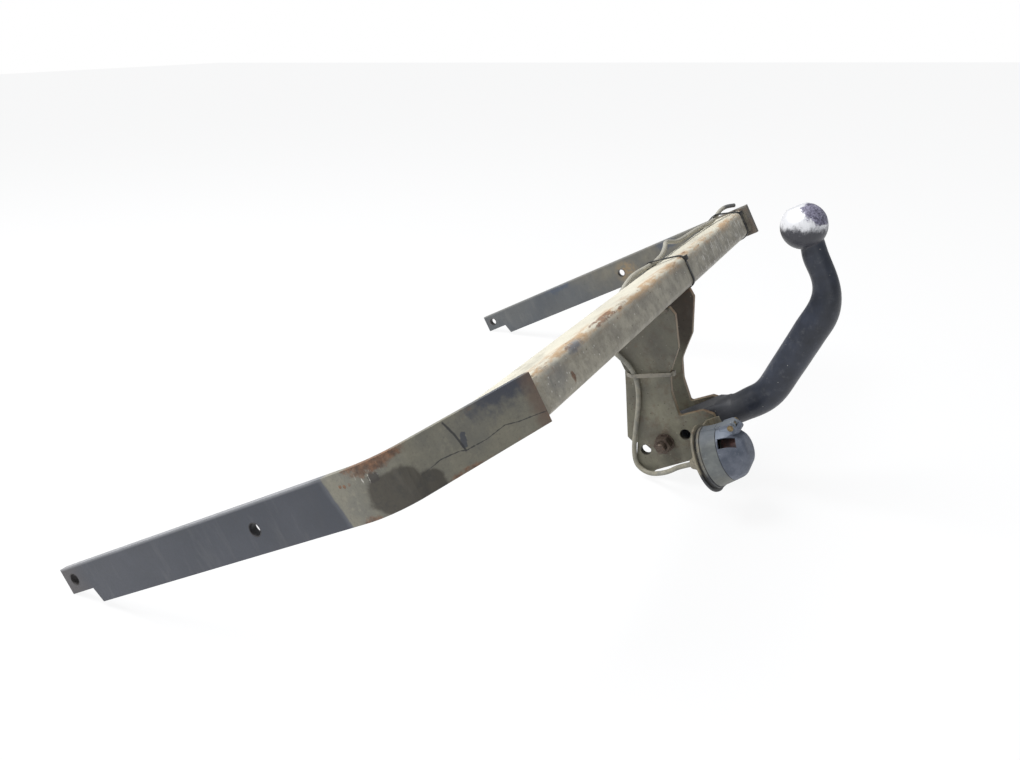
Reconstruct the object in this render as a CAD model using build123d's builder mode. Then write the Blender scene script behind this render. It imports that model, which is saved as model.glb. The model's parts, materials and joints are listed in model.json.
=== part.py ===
from build123d import *
import math
import os

os.makedirs("parts", exist_ok=True)

# Towbar for a car, in millimetres, lying the way it does off the car: on the lower front
# corners of its two side arms and on the toes of its drop fork, nose down by lying_pitch.
# Every piece is drawn in the frame of the car: X to the right, Y forward, Z up, from the
# middle of the cross beam. The planes below tilt that frame to the lying position.
lying_pitch = 27.7

# Cross beam
beam_depth = 50
beam_height = 40
beam_wall = 4
beam_corner = 8

# Side arms, flat bars on edge that slide into the chassis rails
arm_thickness = 8
arm_height = 45
arm_front = 504
left_arm_face = -511
right_arm_face = 403
right_arm_toe_out = 3.4
right_arm_rear = -34.5
left_arm_rear = -27
kink_angle = 57.8
kink_front = 53
kink_radius = 44
tongue_length = 38
tongue_height = 28.5
tongue_slant = 5
arm_weld_leg = 5
weld_cover = 0.3
arm_hole = 12
front_hole_back = 16
front_hole_down = 14.2
rear_hole_back = 301

# Drop fork: two plates that flare from the neck up to the beam
fork_gap = 42
fork_plate = 8
fork_flare = 17
fork_bend_drop = 88
lobe_top_drop = 152.5
fork_bottom_drop = 208.5
toe_front = 99.5
fork_weld_leg = 5
fork_weld_length = 40

# Swan neck with its ball
ball_diameter = 50
ball_behind = 182
ball_rise = 3
ball_flat_height = 22.5
neck_top_diameter = 27
neck_mid_diameter = 38
neck_taper_start = 0.17
neck_taper_end = 0.42
neck_sections = 14
shank_height = 37
neck_lean = 2
upper_bend_drop = 82
lower_bend_behind = 71
upper_bend_radius = 58
lower_bend_radius = 62
shank_rear = -14
shank_blend = 16
shank_corner = 5
shank_front = 82

# Row of three bolt holes through fork and shank; only the middle one holds a bolt
row_slope = -0.08
first_hole_forward = 32
first_hole_drop = 175
second_hole_step = 29
third_hole_step = 57
bolt_diameter = 12
bolt_hole = 13
bolt_head_across = 19
bolt_head_height = 7.5
nut_height = 10.5
washer_diameter = 24
washer_thickness = 2.5
nut_turn = 18
bolt_end_past_nut = 8
bolt_tip_chamfer = 1
thread_clearance = 0.05

# Socket: its flange face stands on a bent bracket at the left fork plate
socket_x = -71
socket_y = -5
socket_drop = 196.4
socket_tilt = -0.5
flange_radius = 36.5
flange_thickness = 3
housing_radius = 35.5
housing_rim_radius = 32.5
housing_length = 21
cavity_radius = 29
housing_back = 6
gasket_thickness = 2.5
bracket_thickness = 2.5
bracket_rim = 3.5
bracket_leg_width = 64
bracket_leg_length = 15
outlet_radius = 15
outlet_drop = 2
outlet_length = 8
outlet_clearance = 1
boot_length = 18
boot_tip_radius = 5.5
carrier_radius = 19
carrier_length = 7
sleeve_radius = 2.6
sleeve_wall = 0.8
sleeve_length = 7
sleeve_ring_radius = 11.5
screw_ring_radius = 24.6
screw_diameter = 5
screw_hole = 5.4
screw_head_diameter = 7.6
screw_head_height = 3
screw_nut_across = 8
screw_nut_height = 3.2
screw_end_past_nut = 1

# Spring lid of the socket
lid_radius = 32.5
lid_waist_radius = 30.5
lid_wall = 2.5
lid_gap = 0.4
lid_straight = 11
lid_end = 47.5
lid_end_radius = 15
lid_waist_round = 12
lid_end_round = 12
collar_radius = 18.5
collar_wall = 3
collar_step = 0.6
seal_radius = 19
seal_thickness = 1.8
hinge_back = 40
hinge_rise = 30
hinge_pin_diameter = 4
hinge_pin_clearance = 0.05
hinge_head_diameter = 7
hinge_head_height = 1.5
lug_half_width = 7
lug_round = 4.4
lug_slack = 0.6
lug_slope = 12
lug_overhang = 2
ear_width = 4
ear_front = 27
ear_depth = 8
ear_front_round = 1.5
ear_rear_round = 4
ear_rear_reach = 7
ear_rear_drop = 5
spring_slot_half = 3.5
spring_roof = 1.1
spring_slot_front = 36
spring_wire = 1.1
spring_turns = 4
spring_clearance = 0.1
spring_end_gap = 0.4
window_height = 12
window_length = 17.5
window_from_rim = 10.4
window_angle = 139

# Cable and its ties
cable_diameter = 6
tie_width = 4.8
tie_thickness = 1.2
tie_clearance = 0.3
tie_head_length = 6
tie_head_height = 3.5
tie_head_lip = 0.6
left_tie_gap = 5
left_tie_slant = 1
right_tie_front_gap = 81.6
right_tie_rear_gap = 11.6
fork_tie_forward = 62
fork_tie_drop = 82
fork_tie_slope = 20

# Planes of the car's frame: x right and y forward; x forward and y up; x right and y up
pitch = math.radians(lying_pitch)
level = Plane(origin=(0, 0, 0), x_dir=(1, 0, 0), z_dir=(0, math.sin(pitch), math.cos(pitch)))
side = Plane(origin=(0, 0, 0), x_dir=level.y_dir, z_dir=level.x_dir)
rear = Plane(origin=(0, 0, 0), x_dir=level.x_dir, z_dir=-level.y_dir)

pieces = {}


def spot(x, y, z):
    """A point of the car's frame in the lying frame."""
    return level.from_local_coords(Vector(x, y, z))


def heading(x, y, z):
    """A direction of the car's frame in the lying frame."""
    return spot(x, y, z) - spot(0, 0, 0)


def keep(name, piece):
    """Names a finished piece and lists it for the export."""
    piece.part.label = name
    pieces[name] = piece.part


# The floor passes under the lower front corners of the arms
step_forward = arm_front - tongue_length
floor_contact = step_forward - tongue_slant


def floor_height(forward):
    """Height of the floor below the car's level line, at a place forward of the beam."""
    return -arm_height / 2 - (floor_contact - forward) * math.tan(pitch)


# Side arms
tongue_bottom = arm_height / 2 - tongue_height
arm_hole_places = [(-front_hole_back, arm_height / 2 - front_hole_down), (-rear_hole_back, 0)]
kink = math.radians(kink_angle)
kink_normal = heading(math.cos(kink), math.sin(kink), 0)
left_end_x = left_arm_face + (kink_front - left_arm_rear) * math.tan(kink)
left_inner_x = left_end_x + arm_thickness * math.cos(kink)
left_inner_y = left_arm_rear + arm_thickness * math.sin(kink)

toe_out = math.radians(right_arm_toe_out)
right_arm_run = heading(math.sin(toe_out), math.cos(toe_out), 0)
right_arm_inner = Plane(
    origin=spot(right_arm_face, arm_front, 0),
    x_dir=right_arm_run,
    z_dir=heading(math.cos(toe_out), -math.sin(toe_out), 0),
)
right_arm_length = (arm_front - right_arm_rear) / math.cos(toe_out)

with BuildPart() as right_arm:
    with BuildSketch(right_arm_inner):
        with BuildLine():
            Polyline(
                (0, arm_height / 2),
                (0, tongue_bottom),
                (-tongue_length, tongue_bottom),
                (-tongue_length - tongue_slant, -arm_height / 2),
                (-right_arm_length, -arm_height / 2),
                (-right_arm_length, arm_height / 2),
                close=True,
            )
        make_face()
        with Locations(*arm_hole_places):
            Circle(arm_hole / 2, mode=Mode.SUBTRACT)
    extrude(amount=arm_thickness)
keep("right_arm", right_arm)

with BuildPart() as left_arm:
    with BuildSketch(level.offset(-arm_height / 2)):
        with BuildLine():
            outer = FilletPolyline(
                (left_arm_face, arm_front),
                (left_arm_face, kink_front),
                (left_end_x, left_arm_rear),
                radius=kink_radius + arm_thickness,
            )
            inner = FilletPolyline(
                (left_arm_face + arm_thickness, arm_front),
                (left_arm_face + arm_thickness, kink_front + arm_thickness * math.tan(kink / 2)),
                (left_inner_x, left_inner_y),
                radius=kink_radius,
            )
            Line(outer @ 0, inner @ 0)
            Line(outer @ 1, inner @ 1)
        make_face()
    extrude(amount=arm_height)
    with BuildSketch(side.offset(left_arm_face - arm_thickness)):
        with BuildLine():
            Polyline(
                (arm_front + tongue_length, tongue_bottom),
                (step_forward, tongue_bottom),
                (floor_contact, -arm_height / 2),
                (arm_front + tongue_length, -arm_height / 2),
                close=True,
            )
        make_face()
        with Locations(*[(arm_front + back, up) for back, up in arm_hole_places]):
            Circle(arm_hole / 2)
    extrude(amount=3 * arm_thickness, mode=Mode.SUBTRACT)
keep("left_arm", left_arm)

# Cross beam, cut off along the inner faces of both arms
mitre = Plane(origin=spot(left_inner_x, left_inner_y, 0), z_dir=kink_normal)
beam_corner_run = (left_inner_y + beam_depth / 2) / math.cos(kink)
beam_corner_x = left_inner_x + beam_corner_run * math.sin(kink)

with BuildPart() as cross_beam:
    with BuildSketch(side.offset(right_arm_face)):
        RectangleRounded(beam_depth, beam_height, beam_corner)
        RectangleRounded(
            beam_depth - 2 * beam_wall,
            beam_height - 2 * beam_wall,
            beam_corner - beam_wall,
            mode=Mode.SUBTRACT,
        )
    extrude(amount=-(right_arm_face - left_arm_face))
    split(bisect_by=mitre, keep=Keep.TOP)
    split(bisect_by=right_arm_inner, keep=Keep.BOTTOM)
keep("cross_beam", cross_beam)

# Weld beads between the arms and the rear face of the beam
weld_height = beam_height - beam_corner

with BuildPart() as left_arm_weld:
    with BuildSketch(level.offset(-weld_height / 2)):
        with BuildLine():
            Polyline(
                (
                    left_inner_x + weld_cover * (left_end_x - left_inner_x),
                    left_inner_y + weld_cover * (left_arm_rear - left_inner_y),
                ),
                (left_inner_x, left_inner_y),
                (beam_corner_x, -beam_depth / 2),
                close=True,
            )
        make_face()
    extrude(amount=weld_height)
keep("left_arm_weld", left_arm_weld)

beam_right_x = right_arm_face - (arm_front + beam_depth / 2) * math.tan(toe_out)
with BuildPart() as right_arm_weld:
    with BuildSketch(level.offset(-weld_height / 2)):
        with BuildLine():
            Polyline(
                (beam_right_x, -beam_depth / 2),
                (beam_right_x - arm_weld_leg, -beam_depth / 2),
                (
                    beam_right_x - arm_weld_leg * math.sin(toe_out),
                    -beam_depth / 2 - arm_weld_leg * math.cos(toe_out),
                ),
                close=True,
            )
        make_face()
    extrude(amount=weld_height)
keep("right_arm_weld", right_arm_weld)

# Drop fork. Both plates share the rear edge with its waist and lobe; the right one reaches
# further forward. Each stands on a toe at its lower front corner.
beam_bottom = -beam_height / 2
fork_inner = fork_gap / 2
fork_outer = fork_inner + fork_plate
fork_rear_edge = [
    (-22, beam_bottom),
    (-24, -31),
    (-7, -71),
    (17, -96),
    (26, -120),
    (29.5, -lobe_top_drop + 1.5),
    (0, -lobe_top_drop),
    (-11, -161),
    (-11, -186),
    (2, -fork_bottom_drop),
    (toe_front - 12, -fork_bottom_drop),
    (toe_front, floor_height(toe_front)),
]
fork_rear_radii = [0, 2, 8, 20, 20, 3, 4, 3, 8, 8, 0, 0]
left_front_edge = [
    (105, -203),
    (106, -187),
    (64, -108),
    (61, -88),
    (68, -74),
    (66, -56),
    (60, -38),
    (60, beam_bottom),
]
left_front_radii = [3, 6, 12, 10, 4, 8, 8, 0]
right_front_edge = [
    (104, -203),
    (113, -186),
    (127, -180),
    (131, -171),
    (103, -107),
    (93, -83),
    (60, beam_bottom),
]
right_front_radii = [3, 3, 2, 3, 10, 10, 0]
bolt_row = [
    (first_hole_forward + step, -first_hole_drop + row_slope * step)
    for step in (0, second_hole_step, third_hole_step)
]


def fork_plate_piece(hand, front_edge, front_radii):
    """One drop plate: hand is -1 on the left and 1 on the right."""
    with BuildPart() as plate:
        with BuildSketch(rear.offset(-2 * toe_front)):
            with BuildLine():
                Polyline(
                    (hand * fork_inner, floor_height(0)),
                    (hand * fork_outer, floor_height(0)),
                    (hand * fork_outer, -fork_bend_drop),
                    (hand * (fork_outer + fork_flare), beam_bottom),
                    (hand * (fork_inner + fork_flare), beam_bottom),
                    (hand * fork_inner, -fork_bend_drop),
                    close=True,
                )
            make_face()
        extrude(amount=3 * toe_front)
        with BuildSketch(side):
            with BuildLine():
                FilletPolyline(
                    *fork_rear_edge,
                    *front_edge,
                    radius=[*fork_rear_radii, *front_radii],
                    close=True,
                )
            make_face()
            with Locations(*bolt_row):
                Circle(bolt_hole / 2, mode=Mode.SUBTRACT)
        extrude(amount=hand * 2 * (fork_outer + fork_flare), mode=Mode.INTERSECT)
    return plate


left_fork_plate = fork_plate_piece(-1, left_front_edge, left_front_radii)
keep("left_fork_plate", left_fork_plate)
right_fork_plate = fork_plate_piece(1, right_front_edge, right_front_radii)
keep("right_fork_plate", right_fork_plate)

flare_slope = fork_flare / (fork_bend_drop + beam_bottom)
with BuildPart() as fork_welds:
    for hand in (-1, 1):
        with BuildSketch(rear.offset(-fork_weld_length / 2)):
            with BuildLine():
                Polyline(
                    (hand * (fork_outer + fork_flare), beam_bottom),
                    (hand * (fork_outer + fork_flare + fork_weld_leg), beam_bottom),
                    (
                        hand * (fork_outer + fork_flare - fork_weld_leg * flare_slope),
                        beam_bottom - fork_weld_leg,
                    ),
                    close=True,
                )
            make_face()
        extrude(amount=fork_weld_length)
keep("fork_welds", fork_welds)

# Swan neck: forged in one piece with the ball, flattened between the plates
shank_slope = math.atan(row_slope)
shank_line_drop = first_hole_drop + row_slope * first_hole_forward


def shank_height_at(forward):
    """Height of the middle line of the shank."""
    return -shank_line_drop + row_slope * forward


def neck_diameter(station):
    """Thickness of the neck at a part of its length: even below the ball, then thicker."""
    taper = (station - neck_taper_start) / (neck_taper_end - neck_taper_start)
    taper = min(max(taper, 0), 1)
    lower = max(station - neck_taper_end, 0) / (1 - neck_taper_end)
    thick = neck_mid_diameter + (shank_height - neck_mid_diameter) * lower
    return neck_top_diameter + (thick - neck_top_diameter) * taper * taper * (3 - 2 * taper)


blend_rear = shank_rear - shank_blend * math.cos(shank_slope)
shank_plane = Plane(
    origin=spot(0, shank_rear, shank_height_at(shank_rear)),
    x_dir=level.x_dir,
    z_dir=heading(0, -math.cos(shank_slope), -math.sin(shank_slope)),
)

with BuildPart(level) as swan_neck:
    with Locations((0, -ball_behind, ball_rise)):
        Sphere(ball_diameter / 2)
    split(bisect_by=level.offset(ball_rise + ball_flat_height), keep=Keep.BOTTOM)
    with BuildLine(side, mode=Mode.PRIVATE) as neck_line:
        FilletPolyline(
            (-ball_behind, ball_rise - ball_diameter / 4),
            (neck_lean - ball_behind, -upper_bend_drop),
            (-lower_bend_behind, shank_height_at(-lower_bend_behind)),
            (blend_rear, shank_height_at(blend_rear)),
            radius=[upper_bend_radius, lower_bend_radius],
        )
    neck_wire = neck_line.wire()
    for section in range(neck_sections + 1):
        station = section / neck_sections
        with BuildSketch(Plane(neck_wire @ station, x_dir=level.x_dir, z_dir=neck_wire % station)):
            Circle(neck_diameter(station) / 2)
    loft()
    with BuildSketch(shank_plane.offset(shank_blend)):
        Circle(shank_height / 2)
    with BuildSketch(shank_plane):
        RectangleRounded(fork_gap, shank_height, shank_corner)
    loft()
    with BuildSketch(shank_plane):
        RectangleRounded(fork_gap, shank_height, shank_corner)
    extrude(amount=-(shank_front - shank_rear) / math.cos(shank_slope))
    with BuildSketch(side.offset(-fork_inner)):
        with Locations(*bolt_row[:2]):
            Circle(bolt_hole / 2)
    extrude(amount=fork_gap, mode=Mode.SUBTRACT)
keep("swan_neck", swan_neck)

# Neck bolt, with its head on the right
bolt_place = bolt_row[1]
washer_face = fork_outer + washer_thickness
bolt_tip = -washer_face - nut_height - bolt_end_past_nut

with BuildPart() as neck_washers:
    for face in (fork_outer, -washer_face):
        with BuildSketch(side.offset(face)):
            with Locations(bolt_place):
                Circle(washer_diameter / 2)
                Circle(bolt_hole / 2, mode=Mode.SUBTRACT)
        extrude(amount=washer_thickness)
keep("neck_washers", neck_washers)

with BuildPart() as neck_bolt:
    with BuildSketch(side.offset(bolt_tip)):
        with Locations(bolt_place):
            Circle(bolt_diameter / 2)
    extrude(amount=washer_face - bolt_tip)
    chamfer(faces().sort_by(Axis.X)[0].edges(), bolt_tip_chamfer)
    with BuildSketch(side.offset(washer_face)):
        with Locations(bolt_place):
            RegularPolygon(bolt_head_across / 2, 6, major_radius=False)
    extrude(amount=bolt_head_height)
keep("neck_bolt", neck_bolt)

with BuildPart() as neck_nut:
    with BuildSketch(side.offset(-washer_face)):
        with Locations(bolt_place):
            RegularPolygon(bolt_head_across / 2, 6, major_radius=False, rotation=nut_turn)
            Circle(bolt_diameter / 2 + thread_clearance, mode=Mode.SUBTRACT)
    extrude(amount=-nut_height)
keep("neck_nut", neck_nut)

# Socket. Its own plane lies on the flange face: x right, y up, z to the rear.
tilt = math.radians(socket_tilt)
socket_face = Plane(
    origin=spot(socket_x, socket_y, -socket_drop),
    x_dir=level.x_dir,
    z_dir=heading(0, -math.cos(tilt), -math.sin(tilt)),
)
socket_section = Plane(
    origin=socket_face.origin, x_dir=socket_face.x_dir, z_dir=-socket_face.y_dir
)
socket_axis = Axis(socket_face.origin, socket_face.z_dir)
socket_profile = Plane(
    origin=socket_face.origin, x_dir=socket_face.z_dir, z_dir=-socket_face.x_dir
)
bracket_face = -gasket_thickness - bracket_thickness
screw_angles = [90, 210, 330]
screw_seat = housing_back
screw_places = [
    (screw_ring_radius * math.cos(math.radians(a)), screw_ring_radius * math.sin(math.radians(a)))
    for a in screw_angles
]

# Bent bracket: one leg lies on the left fork plate, the other carries the flange
bracket_reach = -fork_outer - socket_x
with BuildPart() as socket_bracket:
    with BuildSketch(socket_face.offset(bracket_face)):
        Circle(flange_radius + bracket_rim)
        with Locations((bracket_reach / 2, 0)):
            Rectangle(bracket_reach, bracket_leg_width)
        with Locations((0, -outlet_drop)):
            Circle(outlet_radius + outlet_clearance, mode=Mode.SUBTRACT)
        with Locations(*screw_places):
            Circle(screw_hole / 2, mode=Mode.SUBTRACT)
    extrude(amount=bracket_thickness)
    with BuildSketch(socket_face.offset(bracket_face)):
        with Locations((bracket_reach - bracket_thickness / 2, 0)):
            Rectangle(bracket_thickness, bracket_leg_width)
    extrude(amount=bracket_thickness + bracket_leg_length)
keep("socket_bracket", socket_bracket)

with BuildPart() as socket_gasket:
    with BuildSketch(socket_face.offset(-gasket_thickness)):
        Circle(flange_radius)
        with Locations((0, -outlet_drop)):
            Circle(outlet_radius + outlet_clearance, mode=Mode.SUBTRACT)
        with Locations(*screw_places):
            Circle(screw_hole / 2, mode=Mode.SUBTRACT)
    extrude(amount=gasket_thickness)
keep("socket_gasket", socket_gasket)

pin_place = (hinge_back, hinge_rise)
with BuildPart() as socket_housing:
    with BuildSketch(socket_section):
        with BuildLine():
            Polyline(
                (0, 0),
                (flange_radius, 0),
                (flange_radius, flange_thickness),
                (housing_radius, flange_thickness),
                (housing_rim_radius, housing_length),
                (0, housing_length),
                close=True,
            )
        make_face()
    revolve(axis=socket_axis)
    with BuildSketch(socket_face):
        with Locations((0, -outlet_drop)):
            Circle(outlet_radius)
    extrude(amount=-outlet_length)
    with BuildSketch(socket_profile.offset(-lug_half_width)):
        with BuildLine():
            Polyline(
                (flange_thickness, cavity_radius),
                (flange_thickness, housing_radius),
                (flange_thickness + lug_slope, hinge_rise + lug_round),
                (hinge_back, hinge_rise + lug_round),
                (hinge_back, hinge_rise - lug_round),
                (housing_length + lug_overhang, hinge_rise - lug_round),
                (housing_length, cavity_radius),
                close=True,
            )
        make_face()
        with Locations(pin_place):
            Circle(lug_round)
            Circle(hinge_pin_diameter / 2 + hinge_pin_clearance, mode=Mode.SUBTRACT)
    extrude(amount=2 * lug_half_width)
    with BuildSketch(socket_profile.offset(-spring_slot_half)):
        with Locations((spring_slot_front, hinge_rise + lug_round - spring_roof)):
            Rectangle(lid_end, 3 * lug_round, align=(Align.MIN, Align.MAX))
    extrude(amount=2 * spring_slot_half, mode=Mode.SUBTRACT)
    with BuildSketch(socket_face.offset(housing_back)):
        Circle(cavity_radius)
    extrude(amount=housing_length - housing_back, mode=Mode.SUBTRACT)
    with BuildSketch(socket_face):
        with Locations(*screw_places):
            Circle(screw_hole / 2)
    extrude(amount=housing_back, mode=Mode.SUBTRACT)
keep("socket_housing", socket_housing)

# Contacts: a round carrier with seven sleeves, one in the middle and six around it
sleeve_places = [(0, 0)] + [
    (sleeve_ring_radius * math.cos(turn), sleeve_ring_radius * math.sin(turn))
    for turn in [math.radians(60 * i + 30) for i in range(6)]
]
sleeve_start = housing_back + carrier_length + 1 - sleeve_length

with BuildPart() as contact_carrier:
    with BuildSketch(socket_face.offset(housing_back)):
        Circle(carrier_radius)
    extrude(amount=carrier_length)
    with BuildSketch(socket_face.offset(sleeve_start)):
        with Locations(*sleeve_places):
            Circle(sleeve_radius)
    extrude(amount=sleeve_length, mode=Mode.SUBTRACT)
keep("contact_carrier", contact_carrier)

with BuildPart() as contact_sleeves:
    with BuildSketch(socket_face.offset(sleeve_start)):
        with Locations(*sleeve_places):
            Circle(sleeve_radius)
            Circle(sleeve_radius - sleeve_wall, mode=Mode.SUBTRACT)
    extrude(amount=sleeve_length)
keep("contact_sleeves", contact_sleeves)

# Flange screws, their heads on the socket's floor and their nuts behind the bracket
with BuildPart() as flange_screws:
    with BuildSketch(socket_face.offset(screw_seat)):
        with Locations(*screw_places):
            Circle(screw_head_diameter / 2)
    extrude(amount=screw_head_height)
    with BuildSketch(socket_face.offset(screw_seat)):
        with Locations(*screw_places):
            Circle(screw_diameter / 2)
    extrude(amount=bracket_face - screw_nut_height - screw_end_past_nut - screw_seat)
keep("flange_screws", flange_screws)

with BuildPart() as flange_nuts:
    with BuildSketch(socket_face.offset(bracket_face)):
        with Locations(*screw_places):
            RegularPolygon(screw_nut_across / 2, 6, major_radius=False)
            Circle(screw_diameter / 2 + thread_clearance, mode=Mode.SUBTRACT)
    extrude(amount=-screw_nut_height)
keep("flange_nuts", flange_nuts)

# Lid: a domed cap with a hinge block on the pin, a side window and an inner collar
lid_start = housing_length + lid_gap
lid_inner = lid_radius - lid_wall
lid_waist = lid_start + lid_straight
hinge_half = lug_half_width + lug_slack + ear_width
ear_rear = hinge_back + ear_rear_reach
with BuildPart() as socket_lid:
    with BuildSketch(socket_section):
        with BuildLine():
            FilletPolyline(
                (lid_inner, lid_start),
                (lid_radius, lid_start),
                (lid_waist_radius, lid_waist),
                (lid_end_radius, lid_end),
                (0, lid_end),
                (0, lid_end - lid_wall),
                (lid_end_radius - lid_wall / 2, lid_end - lid_wall),
                (lid_waist_radius - lid_wall, lid_waist - lid_wall / 3),
                radius=[
                    0,
                    0,
                    lid_waist_round,
                    lid_end_round,
                    0,
                    0,
                    lid_end_round - lid_wall,
                    lid_waist_round - lid_wall,
                ],
                close=True,
            )
        make_face()
    revolve(axis=socket_axis)
    with BuildSketch(socket_profile.offset(-hinge_half)):
        with BuildLine():
            FilletPolyline(
                (ear_front, hinge_rise - ear_depth),
                (ear_front, hinge_rise + lug_round),
                (hinge_back, hinge_rise + lug_round),
                (ear_rear, hinge_rise - ear_rear_drop),
                (ear_rear, hinge_rise - ear_depth),
                radius=[ear_front_round, ear_rear_round, ear_rear_round / 2],
            )
            Line((ear_front, hinge_rise - ear_depth), (ear_rear, hinge_rise - ear_depth))
        make_face()
    extrude(amount=2 * hinge_half)
    with BuildSketch(socket_face.offset(lid_start)):
        Circle(lid_waist_radius - lid_wall)
    extrude(amount=lid_straight - lid_wall, mode=Mode.SUBTRACT)
    with BuildSketch(socket_face.offset(lid_start + collar_step)):
        Circle(collar_radius)
        Circle(collar_radius - collar_wall, mode=Mode.SUBTRACT)
    extrude(amount=lid_end - 1.6 * lid_wall - lid_start - collar_step)
    with BuildSketch(socket_profile.offset(-lug_half_width - lug_slack)):
        with Locations((lid_start, seal_radius + lug_slack)):
            Rectangle(hinge_back - lid_start, lid_end, align=(Align.MIN, Align.MIN))
        with Locations(pin_place):
            Circle(lug_round + lug_slack)
    extrude(amount=2 * (lug_half_width + lug_slack), mode=Mode.SUBTRACT)
    with BuildSketch(socket_profile):
        with Locations(pin_place):
            Circle(hinge_pin_diameter / 2 + hinge_pin_clearance)
    extrude(amount=2 * lid_radius, both=True, mode=Mode.SUBTRACT)
    window_out = math.radians(window_angle)
    window_plane = Plane(
        origin=socket_face.from_local_coords((0, 0, lid_start + window_from_rim)),
        x_dir=socket_face.z_dir,
        z_dir=socket_face.x_dir * math.cos(window_out) + socket_face.y_dir * math.sin(window_out),
    )
    with BuildSketch(window_plane.offset(seal_radius)):
        Rectangle(window_length, window_height)
    extrude(amount=lid_radius, mode=Mode.SUBTRACT)
keep("socket_lid", socket_lid)

with BuildPart() as lid_seal:
    with BuildSketch(socket_face.offset(lid_start + collar_step)):
        Circle(seal_radius)
        Circle(carrier_radius - collar_wall - hinge_head_height, mode=Mode.SUBTRACT)
    extrude(amount=-seal_thickness)
keep("lid_seal", lid_seal)

with BuildPart() as lid_hinge_pin:
    with BuildSketch(socket_profile.offset(-hinge_half)):
        with Locations(pin_place):
            Circle(hinge_pin_diameter / 2)
    extrude(amount=2 * hinge_half)
    for head in (-hinge_half - hinge_head_height, hinge_half):
        with BuildSketch(socket_profile.offset(head)):
            with Locations(pin_place):
                Circle(hinge_head_diameter / 2)
        extrude(amount=hinge_head_height)
keep("lid_hinge_pin", lid_hinge_pin)

# Closing spring: a coil round the pin between the two cheeks of the hinge lug
spring_radius = hinge_pin_diameter / 2 + spring_wire / 2 + spring_clearance
spring_height = 2 * spring_slot_half - spring_wire - spring_end_gap
with BuildPart() as lid_spring:
    with BuildLine() as coil:
        Helix(
            spring_height / spring_turns,
            spring_height,
            spring_radius,
            center=socket_profile.from_local_coords((*pin_place, -spring_height / 2)),
            direction=socket_profile.z_dir,
        )
    with BuildSketch(Plane(coil.line @ 0, z_dir=coil.line % 0)):
        Circle(spring_wire / 2)
    sweep(path=coil.line, is_frenet=True)
keep("lid_spring", lid_spring)

# Cable: from the boot below the left plate, up its front edge, over the beam and along it
boot_tip = level.to_local_coords(
    socket_face.from_local_coords((0, -outlet_drop, -outlet_length - boot_length))
)
cable_route = [
    (boot_tip.X, boot_tip.Y, boot_tip.Z),
    (-69.5, 38, -198),
    (-60, 57, -204),
    (-47, 75, -208),
    (-36, 92, -209.5),
    (-33, 103.1, -202.8),
    (-32.3, 108, -190.7),
    (-32.3, 101.5, -172),
    (-32.3, 88, -149),
    (-32.5, 74, -127),
    (-32.8, 63.5, -107),
    (-34, 57.5, -88),
    (-38.5, 56.5, -70),
    (-43.5, 62.5, -52),
    (-43, 69, -38),
    (-38, 66, -20),
    (-27, 48, 2),
    (-10, 33, 18),
    (14, 27, 24.5),
    (42, 21, 23.4),
    (72, 15, 23.4),
    (98, 14.5, 26),
    (118, 14, 32),
    (134, 17, 37),
    (148, 16, 33.5),
    (168, 15.5, 28.5),
    (196, 14.6, 27),
    (240, 13, 27),
    (282, 9, 25.5),
    (316, 4.6, 23.6),
    (334, 1, 28.5),
    (348, -4, 33),
    (362, -11, 33),
    (373, -18, 29),
]

# Rubber boot on the outlet; its tip is turned to where the cable goes
with BuildPart() as cable_boot:
    with BuildSketch(socket_face.offset(-outlet_length)):
        with Locations((0, -outlet_drop)):
            Circle(outlet_radius)
    with BuildSketch(Plane(spot(*cable_route[0]), z_dir=spot(*cable_route[1]) - spot(*cable_route[0]))):
        Circle(boot_tip_radius)
    loft()
keep("cable_boot", cable_boot)

route = [Vector(*place) for place in cable_route]
runs = [route[i + 1] - route[i] for i in range(len(route) - 1)]
cable_radii = [
    0.45 * min(a.length, b.length) / math.tan(math.radians(a.get_angle(b)) / 2)
    for a, b in zip(runs, runs[1:])
]

with BuildPart() as socket_cable:
    with BuildLine(level) as cable_path:
        FilletPolyline(*cable_route, radius=cable_radii)
    with BuildSketch(Plane(cable_path.line @ 0, z_dir=cable_path.line % 0)):
        Circle(cable_diameter / 2)
    sweep(path=cable_path.line)
keep("socket_cable", socket_cable)


# Cable ties: a band with its locking head, pulled tight round all that it holds
def tight_loop(points):
    """Corners of the shortest loop round the points."""
    ordered = sorted({(round(point.X, 3), round(point.Y, 3)) for point in points})
    loop = []
    for run in (ordered, ordered[::-1]):
        half = []
        for corner in run:
            while len(half) > 1:
                back = (half[-1][0] - half[-2][0], half[-1][1] - half[-2][1])
                ahead = (corner[0] - half[-2][0], corner[1] - half[-2][1])
                if back[0] * ahead[1] > back[1] * ahead[0]:
                    break
                half.pop()
            half.append(corner)
        loop += half[:-1]
    return loop


def tie_ring(held, band_plane, band_reach):
    """Outline of the band: it clears the held pieces over its whole width, band_reach."""
    touched = []
    for step in (-0.5, 0, 0.5):
        cut = Plane(
            origin=band_plane.origin + step * band_reach,
            x_dir=band_plane.x_dir,
            z_dir=band_plane.z_dir,
        )
        for piece in held:
            for edge in cut.to_local_coords(piece & cut).face().outer_wire().edges():
                count = 1 if edge.geom_type == GeomType.LINE else 8
                touched += [edge @ (i / count) for i in range(count)]
    with BuildSketch() as ring:
        for stand_off, mode in (
            (tie_clearance + tie_thickness, Mode.ADD),
            (tie_clearance, Mode.SUBTRACT),
        ):
            with BuildSketch(mode=Mode.PRIVATE) as loop:
                with BuildLine():
                    Polyline(*tight_loop(touched), close=True)
                make_face()
                offset(amount=stand_off)
            add(loop.sketch, mode=mode)
    return ring.sketch


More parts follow.
